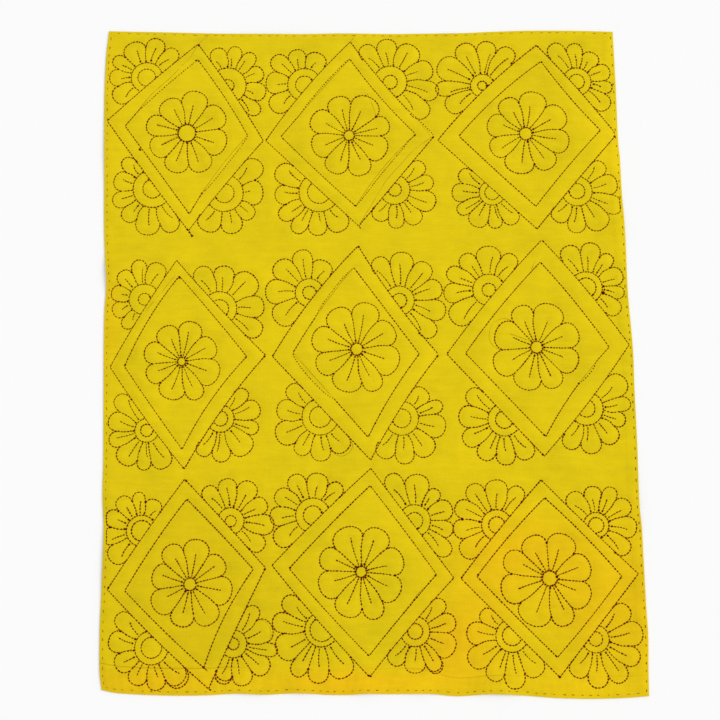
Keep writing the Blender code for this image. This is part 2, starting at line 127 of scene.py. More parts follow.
# What is stitched. A diamond has its corners, clockwise from the left one, and how far the middle
# of each side bows out, from the upper left side on. A flower has the radius of its eye, the reach
# of its petals to the right, top, left and bottom, and the angle of its first petal's edge.
# A fan is half a flower on a side of the outer diamond: its middle's share of the side and distance
# outside it, the radii of its two arcs, its count of petals and their reach at the side's end,
# in the middle and at the side's start. The seed makes the petals as uneven as drawn by hand.
# These numbers, seeds too, were fitted to the photo's stitches by a search: they aren't random.
Diamond = namedtuple("Diamond", "left top right bottom bows")
Flower = namedtuple("Flower", "centre eye reach turn seed")
Fan = namedtuple("Fan", "share out inner outer petals reach seed")
Cell = namedtuple("Cell", "outer inner flower upper_left upper_right lower_right lower_left")
CELLS = {
    "top left": Cell(
        Diamond((-428, 382), (-281, 515), (-170, 348), (-290, 196), (2, 3, -2, 1)),
        Diamond((-398, 373), (-281, 488), (-196, 357), (-289, 224), (6, 3, -5, 0)),
        Flower((-296, 361), 15, (68, 71, 67, 72), 96, 4481),
        Fan(0.49, 11, 15, 26, 6, (69, 70, 61), 235),
        Fan(0.44, -1, 11, 31, 6, (70, 67, 65), 4408),
        Fan(0.56, 8, 16, 31, 5, (76, 59, 79), 59),
        Fan(0.40, 5, 16, 32, 6, (66, 72, 80), 1931),
    ),
    "top middle": Cell(
        Diamond((-166, 348), (-27, 519), (111, 356), (-13, 204), (6, -5, 0, 0)),
        Diamond((-141, 355), (-28, 489), (81, 359), (-18, 237), (1, -4, -6, 1)),
        Flower((-29, 357), 9, (70, 74, 65, 74), 85, 2873),
        Fan(0.52, 6, 15, 28, 5, (57, 67, 68), 6496),
        Fan(0.45, 10, 12, 28, 6, (84, 78, 73), 7439),
        Fan(0.57, 7, 11, 25, 6, (54, 74, 63), 3492),
        Fan(0.41, 3, 19, 33, 6, (77, 75, 72), 8109),
    ),
    "top right": Cell(
        Diamond((117, 349), (283, 513), (411, 358), (277, 199), (7, 3, -1, 0)),
        Diamond((152, 356), (290, 485), (385, 366), (276, 237), (6, -3, -2, 1)),
        Flower((262, 360), 11, (76, 72, 66, 72), 99, 1972),
        Fan(0.51, 7, 8, 20, 6, (79, 79, 74), 599),
        Fan(0.45, 7, 13, 24, 6, (69, 55, 82), 3341),
        Fan(0.56, 11, 13, 25, 6, (60, 77, 65), 7351),
        Fan(0.43, 5, 12, 21, 6, (60, 66, 60), 363),
    ),
    "middle left": Cell(
        Diamond((-410, -27), (-308, 147), (-162, -8), (-288, -189), (3, -2, -6, 3)),
        Diamond((-387, -26), (-303, 121), (-192, -10), (-292, -158), (6, 1, -7, 1)),
        Flower((-296, -18), 7, (60, 66, 60, 68), 92, 4772),
        Fan(0.60, 8, 10, 25, 6, (69, 58, 56), 7851),
        Fan(0.50, -1, 15, 28, 5, (80, 73, 75), 2600),
        Fan(0.56, 6, 12, 22, 6, (71, 66, 62), 3275),
        Fan(0.42, 9, 10, 19, 6, (71, 63, 66), 8342),
    ),
    "centre": Cell(
        Diamond((-151, -10), (-14, 171), (115, -7), (6, -175), (7, -5, -5, 0)),
        Diamond((-118, -4), (-21, 135), (84, -6), (2, -139), (4, 0, -4, 0)),
        Flower((-16, 2), 10, (67, 77, 72, 75), 93, 4772),
        Fan(0.52, 9, 11, 23, 5, (57, 76, 68), 3332),
        Fan(0.51, 6, 12, 24, 6, (83, 75, 83), 985),
        Fan(0.59, 10, 15, 27, 6, (64, 78, 58), 8687),
        Fan(0.46, 11, 17, 29, 6, (66, 75, 63), 8538),
    ),
    "middle right": Cell(
        Diamond((128, -6), (284, 181), (420, 9), (280, -169), (4, 4, 4, 0)),
        Diamond((158, -5), (281, 144), (388, 5), (283, -138), (4, 3, -6, 0)),
        Flower((272, 5), 10, (70, 76, 72, 75), 93, 7307),
        Fan(0.51, 10, 11, 26, 6, (73, 74, 79), 4420),
        Fan(0.48, 2, 16, 26, 6, (68, 61, 82), 2132),
        Fan(0.55, 3, 14, 27, 6, (76, 65, 79), 4317),
        Fan(0.38, 6, 14, 26, 6, (75, 74, 69), 1671),
    ),
    "bottom left": Cell(
        Diamond((-403, -375), (-287, -205), (-158, -342), (-243, -524), (2, 1, -1, 3)),
        Diamond((-376, -377), (-283, -236), (-177, -344), (-251, -493), (3, 1, -7, 2)),
        Flower((-275, -367), 10, (65, 68, 61, 69), 101, 722),
        Fan(0.50, 7, 16, 24, 6, (53, 63, 62), 5988),
        Fan(0.52, 8, 9, 21, 6, (64, 66, 65), 1468),
        Fan(0.62, 6, 9, 21, 6, (61, 67, 69), 6476),
        Fan(0.49, 13, 16, 26, 6, (77, 55, 76), 7211),
    ),
    "bottom middle": Cell(
        Diamond((-148, -338), (6, -188), (135, -357), (4, -506), (2, 0, -2, 3)),
        Diamond((-121, -343), (5, -215), (108, -352), (3, -475), (2, 1, -1, 2)),
        Flower((-9, -348), 9, (71, 75, 67, 73), 87, 3098),
        Fan(0.46, 9, 15, 27, 6, (64, 72, 68), 1993),
        Fan(0.50, 5, 13, 25, 6, (74, 57, 82), 3087),
        Fan(0.51, 10, 12, 23, 6, (57, 72, 60), 2280),
        Fan(0.45, 5, 18, 26, 6, (79, 80, 81), 1038),
    ),
    "bottom right": Cell(
        Diamond((146, -358), (274, -206), (422, -351), (296, -507), (2, -1, 0, 0)),
        Diamond((171, -355), (279, -234), (396, -355), (293, -477), (3, 3, 2, 1)),
        Flower((284, -358), 12, (69, 73, 75, 76), 87, 8251),
        Fan(0.50, 7, 13, 24, 6, (69, 76, 67), 1993),
        Fan(0.53, 10, 12, 20, 6, (63, 66, 60), 7400),
        Fan(0.60, 8, 11, 21, 6, (63, 76, 72), 5824),
        Fan(0.45, 7, 15, 25, 6, (56, 79, 72), 3351),
    ),
}

FLOWER_PETALS = 8
# How the petals of a flower and a fan are drawn: the degrees that their edges stray, the share by
# which their reaches differ, the share of their reach where two meet, how far off the eye a vein
# starts, the shares of the reach where it may end, and the degrees that it curls at the most
Petals = namedtuple("Petals", "sway uneven notch gap vein_end curl")
IN_FLOWER = Petals(6.5, 0.05, 0.73, 1, (0.6, 0.76), 4.0)
IN_FAN = Petals(5.5, 0.06, 0.74, 2, (0.68, 0.8), 7.0)
PETAL_BEND = 4.0  # degrees that a petal's edge may curve, and that its vein may lean
HEAD_POWER = 2.3  # these two shape a petal's rounded end
HEAD_ROUNDNESS = 0.56
ROW_INSET = 5  # least distance from a row of stitches to the outline

# How many steps a curve is worked out in
SIDE_STEPS = 32
ARC_STEPS = 20
SPOKE_STEPS = 6
PETAL_HEAD_STEPS = 24

# Where the needle left the side of a diamond, in small dotted stitches: from and to which share of
# the side, how far outside it, and whether the side's own drawn line shows there
Stray = namedtuple("Stray", "cell ring side start end out marked")
STRAYS = (
    Stray("top left", "inner", 0, 0.25, 0.97, -2.5, False),
    Stray("top left", "inner", 2, 0.0, 0.74, 6, True),
    Stray("top middle", "outer", 1, 0.72, 1.0, 1.5, False),
    Stray("top middle", "inner", 0, 0.3, 1.0, 3, True),
    Stray("top middle", "inner", 2, 0.12, 0.98, 4.5, True),
    Stray("centre", "inner", 0, 0.4, 1.0, 3, True),
    Stray("centre", "inner", 3, 0.46, 1.0, 7, True),
    Stray("middle right", "inner", 2, 0.19, 0.42, 4, True),
)
STRAY_SHAPE = 0.5  # how soon a strayed row is at its full distance

# Where a row was sewn on past a diamond's corner, or ends in a knot of its own
Extra = namedtuple("Extra", "cell kind start end")
EXTRAS = (
    Extra("top left", "side", (-290, 196), (-284, 188)),
    Extra("top left", "knot", (-285, 190), (-283, 186)),
    Extra("top left", "knot", (-374, 335), (-371, 331)),
    Extra("top middle", "side", (-13, 204), (-8, 198)),
    Extra("bottom left", "side", (-251, -493), (-245, -497)),
    Extra("bottom left", "side", (-243, -524), (-239, -527)),
    Extra("middle left", "knot", (-304, 120), (-301, 117)),
    Extra("bottom left", "knot", (-253, -490), (-250, -494)),
    Extra("bottom middle", "knot", (3, -503), (7, -506)),
    Extra("bottom right", "knot", (294, -504), (297, -508)),
    Extra("middle right", "knot", (379, 97), (383, 91)),
    Extra("middle right", "knot", (377, 93), (384, 95)),
)

# Drawn lines that no stitches follow
DRAWN_LINES = (
    ((-378, 400), (-354, 430), (-326, 456), (-292, 493), (-281, 514), (-260, 534)),
    ((75, 396), (106, 354), (77, 332), (32, 281), (-11, 208)),
    ((-27, 519), (-16, 534)),
    ((-309, 123), (-329, 97), (-354, 66)),
    ((266, 132), (271, 143), (277, 154)),
    ((97, -365), (80, -380), (66, -398)),
    ((-245, -521), (-238, -526)),
    ((-252, -492), (-246, -498)),
    ((-311, 357), (-338, 341)),
    ((225, 28), (243, 22), (261, 15)),
    ((1, 429), (6, 417), (11, 405), (15, 391)),
)
# Petals with a second outline: the flower or the fan's number, the petal, its share of the first
# one's reach, and whether it is sewn too or only drawn
Doubled = namedtuple("Doubled", "cell where petal share sewn")
DOUBLED_PETALS = (
    Doubled("middle right", "flower", 1, 1.14, False),
    Doubled("centre", 3, 5, 1.08, False),
    Doubled("bottom left", 3, 5, 0.93, True),
    Doubled("bottom left", 2, 4, 0.94, False),
    Doubled("bottom left", 2, 0, 0.92, True),
    Doubled("bottom middle", 2, 2, 0.95, True),
)

# The cloth's mesh: faces across and along its face, both even. The underside has half as many.
FACES_ACROSS = 232
FACES_ALONG = 290
# The section of the folded edge, from the face down to the valley between its two folds, as shares
# of the rounding's width and of the cloth's thickness
EDGE_SECTION = ((0.5, 0.97), (0.85, 0.86), (1.0, 0.7), (0.96, 0.58), (0.7, 0.5))

# How each kind of row is stitched: from one stitch to the next, the stitch's share of that, the
# thread's width, how far a stitch may stand off the row, how often the row starts in a knot, and
# how faded its thread is
Stitching = namedtuple("Stitching", "pitch share width sway knotted faded", defaults=(0.0,))
STITCHINGS = {
    "side": Stitching(5.1, 0.8, 1.66, 0.2, 0.7),
    "curve": Stitching(4.9, 0.82, 1.76, 0.28, 0.65),
    "vein": Stitching(4.7, 0.8, 1.66, 0.3, 0.4),
    "eye": Stitching(4.3, 0.94, 2.5, 0.35, 1.0),
    "dotted": Stitching(4.3, 0.5, 1.6, 0.25, 0.0, 0.1),
    "knot": Stitching(6.0, 1.0, 2.2, 0.0, 1.0),
    "top": Stitching(15.0, 0.4, 0.9, 0.5, 0.0, 0.65),
    "left": Stitching(13.0, 0.34, 1.1, 0.5, 0.0, 0.35),
    "bottom": Stitching(13.5, 0.31, 1.3, 0.5, 0.0, 0.32),
    "right": Stitching(13.0, 0.33, 1.4, 0.5, 0.0),
}
KNOT_SWELL = 1.5  # how much wider the thread is at a knot
# The least and the greatest share of its usual size that each of these may be
PITCHES = (0.94, 1.08)
STITCH_LENGTHS = (0.72, 1.28)
GAPS = (0.7, 1.35)
ROW_WIDTHS = (0.86, 1.16)
STITCH_WIDTHS = (0.8, 1.2)
FIRST_STITCH = (0, 0.25)  # where a row's first stitch starts, in pitches
# How light the thread may be in a whole row, and how much lighter in a few of its stitches
ROW_SHADES = (0, 0.2)
STITCH_SHADE = 0.8
SHADE_POWER = 3
# How much thicker the thread looks in some diamonds than in the others
THREAD_WEIGHTS = {"bottom left": 1.1, "bottom middle": 1.1, "bottom right": 1.09, "top right": 1.06,
                  "middle right": 1.05, "top middle": 1.02}

# The running stitch inside each edge: how far in it is, and how it pulls the cloth down
BORDER_INSETS = {"bottom": 5.5, "right": 3.9, "top": 4.0, "left": 5.0}
BORDER_PULL = 0.3
BORDER_REACH = 5

BORDER_PACE = 5  # from one point of its line to the next
BORDER_SEED = 99

# The crease left from folding: a soft trough from the left edge to the right one
FOLD_AT = -7
FOLD_HALF_WIDTH = 7
FOLD_DEPTH = 0.3
# Soft lumps in the puffed cloth, and puckers in the bottom hem's, at a pitch that they stray from
Lumps = namedtuple("Lumps", "size rise seed")
LUMPS = (Lumps(26, 0.3, 1.5), Lumps(11, 0.12, 7.5))
PUCKER = 0.22
PUCKER_PITCH = 15
PUCKER_STRAYS = Lumps(40, 1.2, 3.5)

# Where the dyed cloth is lighter or darker, and more orange, than elsewhere, and one painted shade:
# the narrow dark strip on the right edge's rounded fold, which faces the light
Zone = namedtuple("Zone", "x y across along shade warm", defaults=(0.0,))
ZONES = (
    Zone(-220, -421, 80, 70, -0.03),
    Zone(-275, -361, 170, 150, -0.03, 0.1),
    Zone(-392, -350, 70, 190, -0.035),
    Zone(-150, -460, 280, 26, -0.03),
    Zone(-120, -410, 360, 170, -0.04),
    Zone(100, 110, 260, 130, 0.015),
    Zone(-334, -515, 120, 26, 0.03, 0.6),
    Zone(-30, -517, 130, 24, 0.085, 0.8),
    Zone(290, -517, 150, 28, 0.065, 0.3),
    Zone(136, -459, 60, 60, 0.02, 0.7),
    Zone(191, -345, 70, 90, 0.03, 0.5),
    Zone(278, -307, 90, 50, 0.03, 0.4),
    Zone(345, -405, 70, 90, 0.0, 0.5),
    Zone(420, -391, 40, 150, 0.0, 0.3),
    Zone(404, 333, 40, 200, 0.02),
    Zone(398, 320, 26, 75, 0.06, 0.12),
    # painted shade on the right edge's rounded fold, where the light from the right falls on it
    Zone(428, -120, 9, 330, -0.07),
    Zone(92, 512, 40, 30, 0.05),
    Zone(-423, 453, 20, 100, 0.0, 0.15),
    Zone(-413, 58, 22, 90, 0.0, 0.3),
    Zone(-347, 1, 90, 120, -0.02),
    Zone(-10, 520, 420, 40, -0.01),
)

CAMERA_AT = (-0.011, -0.2216, 1.5867)
LOOKED_AT = (-0.011, -0.0155, 0)
LENS = 50
SENSOR = 36


def lerp(a, b, share):
    return a + (b - a) * share


def polar(centre, radius, degrees):
    angle = math.radians(degrees)
    return (centre[0] + radius * math.cos(angle), centre[1] + radius * math.sin(angle))


def between(values, share):
    """The value at a share, from 0 to 1, of the way along evenly spread values."""
    place = max(0.0, min(0.999999, share)) * (len(values) - 1)
    first = int(place)
    return lerp(values[first], values[first + 1], place - first)


def ramp(share):
    """Smoothly from 0 to 1."""
    t = np.clip(share, 0, 1)
    return t * t * (3 - 2 * t)


def bell(share):
    """1 in the middle, falling smoothly to 0 at a share of 1 to either side."""
    return np.cos(np.pi / 2 * np.clip(share, -1, 1)) ** 2


def smooth(stations, along):
    """The heights at `along` of a smooth curve through (along, height) stations."""
    x, y = np.array(stations, float).T
    before, after = np.arange(-1, len(x) - 1).clip(0), np.arange(1, len(x) + 1).clip(0, len(x) - 1)
    slopes = (y[after] - y[before]) / (x[after] - x[before])
    i = np.clip(np.searchsorted(x, along) - 1, 0, len(x) - 2)
    width = x[i + 1] - x[i]
    t = np.clip((along - x[i]) / width, 0, 1)
    bend = slopes[i] * t * (1 - t) ** 2 - slopes[i + 1] * t * t * (1 - t)
    return lerp(y[i], y[i + 1], ramp(t)) + width * bend


def travelled(points):
    """How far along a line each of its points is."""
    return np.concatenate(([0.0], np.cumsum(np.hypot(*np.diff(points, axis=0).T))))


def points_at(points, distances):
    """The points at these distances along a line."""
    along = travelled(points)
    return np.stack([np.interp(distances, along, points[:, k]) for k in (0, 1)], axis=1)


# The rows. Each follows a drawn line, and most are stitched on it.

Row = namedtuple("Row", "kind stitched drawn")


def keep_in(points):
    """The points, moved in where they are too close to the cloth's edge."""
    x, y = np.array(points, float).T
    x = np.clip(x, smooth(LEFT_EDGE, y) + ROW_INSET, smooth(RIGHT_EDGE, y) - ROW_INSET)
    y = np.clip(y, smooth(BOTTOM_EDGE, x) + ROW_INSET, smooth(TOP_EDGE, x) - ROW_INSET)
    return np.stack([x, y], axis=1)


def followed(kind, points):
    points = keep_in(points)
    return Row(kind, points, points)


def shares(steps):
    """Even shares from 0 to 1."""
    return [i / steps for i in range(steps + 1)]


def side_ends(diamond, side):
    """The corners at the start and the end of a diamond's side, 0 being the upper left one."""
    return diamond[side], diamond[(side + 1) % 4]


def off_side(diamond, side, share, out=0):
    """The point at a share of a diamond's bowed side, and this far outside it."""
    (x0, y0), (x1, y1) = side_ends(diamond, side)
    bow = diamond.bows[side] * 4 * share * (1 - share)
    outward = (out + bow) / math.dist((x0, y0), (x1, y1))
    return lerp(x0, x1, share) - (y1 - y0) * outward, lerp(y0, y1, share) + (x1 - x0) * outward


def part_of(points, start, end):
    """A line's part from one share of it to another."""
    return points_at(points, np.linspace(start, end, SIDE_STEPS) * travelled(points)[-1])


def leftward(run):
    """The unit direction to the left of each run."""
    return np.stack([-run[:, 1], run[:, 0]], axis=1) / np.hypot(*run.T)[:, None]


def beside(points, out):
    """A line moved outwards, but for its two ends."""
    share = np.sin(np.linspace(0, np.pi, len(points))).clip(0) ** STRAY_SHAPE
    return points + leftward(np.gradient(points, axis=0)) * (out * share)[:, None]


def side_rows(name, ring, diamond, side):
    points = np.array([off_side(diamond, side, share) for share in shares(SIDE_STEPS)])
    stray = next((stray for stray in STRAYS if stray[:3] == (name, ring, side)), None)
    if not stray:
        return [followed("side", points)]
    rows = [followed("side", part_of(points, start, end))
            for start, end in ((0, stray.start), (stray.end, 1)) if end > start]
    strayed = part_of(points, stray.start, stray.end)
    drawn = strayed if stray.marked else None
    return rows + [Row("dotted", beside(strayed, stray.out), drawn)]


def arc(centre, radius, start, end):
    return [polar(centre, radius, lerp(start, end, share)) for share in shares(ARC_STEPS)]


def spoke(centre, angle, start, end, bend=0, curl=0):
    """A petal's edge or vein, bent to the side in its middle or curled towards its end."""
    return [polar(centre, lerp(start, end, share),
                  angle + bend * math.sin(math.pi * share) + curl * share * share)
            for share in shares(SPOKE_STEPS)]


def petal_head(centre, angles, notches, reach):
    """A petal's rounded end, from one notch to the next."""
    points = []
    for share in shares(PETAL_HEAD_STEPS):
        u = math.sin(math.pi * (share - 0.5))
        across = (u + 1) / 2
        foot = lerp(*notches, across)
        swell = (1 - abs(u) ** HEAD_POWER) ** HEAD_ROUNDNESS
        points.append(polar(centre, foot + (reach - foot) * swell, lerp(*angles, across)))
    return points


def meetings(how, reaches, before, after):
    """How far out petals meet, also with the reaches before and after them."""
    around = [before, *reaches, after]
    return [how.notch * (a + b) / 2 for a, b in zip(around, around[1:])]


def petal_rows(how, centre, start, angles, notches, reaches, curls, doubled, chance):
    """The edges, heads and veins of a row of petals. A fan's first petal has no edge before it."""
    rows = []
    for i, reach in enumerate(reaches):
        if i or how is IN_FLOWER:
            bend = chance.uniform(-PETAL_BEND, PETAL_BEND)
            rows.append(followed("curve", spoke(centre, angles[i], start, notches[i], bend)))
        span = angles[i:i + 2], notches[i:i + 2]
        rows.append(followed("curve", petal_head(centre, *span, reach)))
        if i in doubled:
            second = keep_in(petal_head(centre, *span, reach * doubled[i].share))
            rows.append(Row("curve", second if doubled[i].sewn else None, second))
        lean = (angles[i] + angles[i + 1]) / 2 + chance.uniform(-PETAL_BEND, PETAL_BEND)
        end = reach * chance.uniform(*how.vein_end)
        rows.append(followed("vein", spoke(centre, lean, start + how.gap, end, curl=curls[i])))
    return rows


def flower_rows(flower, doubled):
    how, chance = IN_FLOWER, random.Random(flower.seed)
    step = 360 / FLOWER_PETALS
    angles = [flower.turn + i * step + chance.uniform(-how.sway, how.sway)
              for i in range(FLOWER_PETALS)]
    angles.append(angles[0] + 360)
    middles = [(a + b) / 2 % 360 for a, b in zip(angles, angles[1:])]
    around = flower.reach + flower.reach[:1]
    reaches = [between(around, middle / 360) * (1 + chance.uniform(-how.uneven, how.uneven))
               for middle in middles]
    notches = meetings(how, reaches, reaches[-1], reaches[0])
    curl_chance = random.Random(flower.seed + 1)
    curls = [curl_chance.uniform(-how.curl, how.curl) for _ in reaches]
    eye = followed("eye", arc(flower.centre, flower.eye, 0, 360))
    return [eye] + petal_rows(how, flower.centre, flower.eye, angles, notches, reaches, curls,
                              doubled, chance)


def fan_rows(fan, diamond, side, doubled):
    how, chance = IN_FAN, random.Random(fan.seed)
    (x0, y0), (x1, y1) = side_ends(diamond, side)
    centre = off_side(diamond, side, fan.share, fan.out)
    base = math.degrees(math.atan2(y1 - y0, x1 - x0))

    def ends(radius):
        """The angles at which a circle around the fan's middle meets the diamond's side."""
        dip = math.degrees(math.asin(min(1.0, fan.out / radius)))
        return base - dip, base + 180 + dip

    middles = [(i + 0.5) / fan.petals for i in range(fan.petals)]
    reaches = [between(fan.reach, middle) * (1 + chance.uniform(-how.uneven, how.uneven))
               for middle in middles]
    notches = meetings(how, reaches, reaches[0], reaches[-1])
    first, last = ends(notches[0])[0], ends(notches[-1])[1]
    step = (last - first) / fan.petals
    inner = [first + i * step + chance.uniform(-how.sway, how.sway)
             for i in range(1, fan.petals)]
    curls = [how.curl * (2 * middle - 1) for middle in middles]
    arcs = [followed("curve", arc(centre, radius, *ends(radius)))
            for radius in (fan.inner, fan.outer)]
    return arcs + petal_rows(how, centre, fan.outer, [first, *inner, last], notches, reaches,
                             curls, doubled, chance)


def doubled_in(name, where):
    return {doubled.petal: doubled for doubled in DOUBLED_PETALS if doubled[:2] == (name, where)}


def cell_rows(name, cell):
    """The rows of one diamond with its flower and half flowers."""
    rows = [followed(extra.kind, [extra.start, extra.end])
            for extra in EXTRAS if extra.cell == name]
    for side in range(4):
        rows += side_rows(name, "outer", cell.outer, side)
        rows += side_rows(name, "inner", cell.inner, side)
    rows += flower_rows(cell.flower, doubled_in(name, "flower"))
    for side, fan in enumerate(cell[3:]):
        rows += fan_rows(fan, cell.outer, side, doubled_in(name, side))
    return rows


def border_rows():
    """The rows along the four edges, anticlockwise from the bottom left corner."""
    rows = []
    for name, edge in EDGES.items():
        inset = BORDER_INSETS[name]
        along = np.arange(edge.line[0][0] + inset, edge.line[-1][0] - inset, BORDER_PACE)
        across = smooth(edge.line, along) + inset * edge.inward
        places = (across, along) if edge.upright else (along, across)
        way = 1 if name in ("bottom", "right") else -1
        rows.append(Row(name, np.stack(places, axis=1)[::way], None))
    return rows


def stitches_on(row, chance):
    """The starts and ends of the stitches along a row, as two arrays of points."""
    how = STITCHINGS[row.kind]
    whole = travelled(row.stitched)[-1]
    pitch = how.pitch * chance.uniform(*PITCHES)
    starts, ends = [], []
    at = pitch * chance.uniform(*FIRST_STITCH)
    while at + how.width < whole or not starts:
        starts.append(at)
        at = min(whole, at + pitch * how.share * chance.uniform(*STITCH_LENGTHS))
        ends.append(at)
        at += pitch * (1 - how.share) * chance.uniform(*GAPS)
    found = []
    for distances in (starts, ends):
        strays = [[chance.uniform(-how.sway, how.sway) for _ in "xy"] for _ in distances]
        found.append(points_at(row.stitched, distances) + np.array(strays))
    return found


# The cloth's shape


class Stitched:
    """How far places on the cloth are from the nearest row of stitches."""

    def __init__(self, rows):
        samples = []
        for row in rows:
            if row.stitched is not None:
                whole = travelled(row.stitched)[-1]
                samples.append(points_at(row.stitched, np.arange(0, whole, SAMPLE_PACE)))
        samples = np.concatenate(samples)
        self.tree = KDTree(len(samples))
        for i, (x, y) in enumerate(samples):
            self.tree.insert((x, y, 0), i)
        self.tree.balance()

    def distance(self, x, y):
        return np.array([self.tree.find((a, b, 0))[2] for a, b in zip(x, y)])


def from_edge(name, x, y):
    """How far along an edge places are, and how far in from it."""
    edge = EDGES[name]
    along, across = (y, x) if edge.upright else (x, y)
    return along, (across - smooth(edge.line, along)) * edge.inward


def nearest_edge(x, y):
    """How far in from the nearest edge places are."""
    return np.min([from_edge(name, x, y)[1] for name in EDGES], axis=0)


def lift(x, y):
    """How far the ripples hold the underside off the surface."""
    height = np.zeros_like(x)
    for ripple in RIPPLES:
        along, inward = from_edge(ripple.edge, x, y)
        height += (ripple.rise * bell((along - ripple.at) / ripple.half_width)
                   * bell(inward.clip(0) / ripple.reach))
    return height


def past_hems(x, y):
    """How far outside the bottom hem's inner edge places are, and outside the right hem's."""
    above_bottom, inside_right = (from_edge(edge, x, y)[1] for edge in ("bottom", "right"))
    return smooth(BOTTOM_HEM, x) - above_bottom, RIGHT_HEM - inside_right


def hem(x, y):
    """From 0 to 1 where a hem is turned in."""
    bottom, right = past_hems(x, y)
    return np.maximum(ramp(bottom / HEM_STEP + 0.5), ramp(right / HEM_STEP + 0.5))


def uneven(x, y, size, seed):
    """Smooth noise from -1 to 1, with bumps of about a size."""
    return np.array([noise.noise((a / size, b / size, seed)) for a, b in zip(x, y)])


def thickness(x, y, to_stitches):
    """How thick the cloth is where its rows of stitches are this near."""
    puffed = PUFFED
    for lumps in LUMPS:
        puffed = puffed + lumps.rise * uneven(x, y, lumps.size, lumps.seed)
    full = lerp(STITCHED, puffed, ramp(to_stitches / PULL_REACH)) + HEM_RISE * hem(x, y)
    strays = PUCKER_STRAYS.rise * uneven(x, y, PUCKER_STRAYS.size, PUCKER_STRAYS.seed)
    wave = np.sin(2 * np.pi * (x / PUCKER_PITCH + strays))
    full += PUCKER * wave * ramp(past_hems(x, y)[0] / HEM_STEP)
    for name, inset in BORDER_INSETS.items():
        full -= BORDER_PULL * bell((from_edge(name, x, y)[1] - inset) / BORDER_REACH)
    full -= FOLD_DEPTH * bell((y - FOLD_AT) / FOLD_HALF_WIDTH)
    return lerp(EDGE_FOLD, full, ramp((nearest_edge(x, y) - FOLD_ROUNDING) / EDGE_REACH))


def underside(x, y, to_stitches):
    """How high the underside is there."""
    pulled = UNDER_PULL * (1 - ramp(to_stitches / UNDER_REACH))
    return lift(x, y) + pulled * ramp((nearest_edge(x, y) - FOLD_ROUNDING) / EDGE_REACH)


def tones(x, y):
    """How much lighter and how much more orange than elsewhere the cloth is at places, with painted
    shade on the right edge's round among the darker ones.
    """
    shade, warm = np.zeros_like(x), np.zeros_like(x)
    for zone in ZONES:
        share = np.exp(-((x - zone.x) / zone.across) ** 2 - ((y - zone.y) / zone.along) ** 2)
        shade += zone.shade * share
        warm += zone.warm * share
    return shade, warm


# Meshes


def add_object(name, data):
    made = bpy.data.objects.new(name, data)
    bpy.context.scene.collection.objects.link(made)
    return made


def new_mesh(name, points, faces, material):
    """An object of points in millimetres."""
    mesh = bpy.data.meshes.new(name)
    mesh.from_pydata(np.asarray(points) * MM, [], faces)
    mesh.shade_smooth()
    mesh.materials.append(material)
    return add_object(name, mesh)


def add_uv(piece, name, corners):
    layer = piece.data.uv_layers.new(name=name)
    layer.data.foreach_set("uv", np.asarray(corners, np.float32).ravel())


def add_number(piece, name, values):
    attribute = piece.data.attributes.new(name, "FLOAT", "POINT")
    attribute.data.foreach_set("value", np.asarray(values, np.float32))


def cloth_grid(inset):
    """The places of the face's grid, its outermost ones this far in from the outline."""
    u = np.linspace(0, 1, FACES_ACROSS + 1)[:, None]
    v = np.linspace(0, 1, FACES_ALONG + 1)[None, :]

    def across(first, second, share, along):
        """Places at a share of the way from one edge to the other."""
        sides = [smooth(edge, lerp(edge[0][0], edge[-1][0], along)) for edge in (first, second)]
        return lerp(*sides, share)

    x, y = across(LEFT_EDGE, RIGHT_EDGE, u, v), across(BOTTOM_EDGE, TOP_EDGE, v, u)
    return x + inset * (1 - 2 * u), y + inset * (1 - 2 * v)


def rim_of(grid):
    """A grid's outermost entries, anticlockwise from the bottom left corner."""
    return np.concatenate([grid[:-1, 0], grid[-1, :-1], grid[:0:-1, -1], grid[0, :0:-1]])


def folded_edge(rim, outward, low, high):
    """The folded edge's rings of points, from the face down, and their places on the map."""
    mirrored = [(out, 1 - share) for out, share in EDGE_SECTION[-2::-1]]
    rings, flat = [], []
    for k, (out, share) in enumerate([*EDGE_SECTION, *mirrored]):
        rings.append(np.column_stack([rim + outward * out, lerp(low, high, share)]))
        flat.append(rim + outward * min(k + 1, 2 * len(EDGE_SECTION) - 1 - k))
    return rings, flat


def kept_below(shape):
    """Which places of the face's grid the underside has too, by number."""
    kept = np.zeros(shape, bool)
    kept[::2, ::2] = True
    kept[[0, -1], :] = True
    kept[:, [0, -1]] = True
    return np.flatnonzero(kept)


def cloth_faces(index, rings, under):
    """The cloth's faces, and how many of them are on its upper side."""
    quads = (index[:-1, :-1], index[1:, :-1], index[1:, 1:], index[:-1, 1:])
    faces = np.stack([corners.ravel() for corners in quads], axis=1).tolist()
    upper_count = len(faces) + len(EDGE_SECTION) * len(rings[0])
    for above, below in zip(rings, rings[1:]):
        faces += zip(above, below, np.roll(below, -1), np.roll(above, -1))
    for i in range(0, FACES_ACROSS, 2):
        for j in range(0, FACES_ALONG, 2):
            around = rim_of(under[i:i + 3, j:j + 3].T)
            faces.append([corner for corner in around if corner >= 0])
    return faces, upper_count


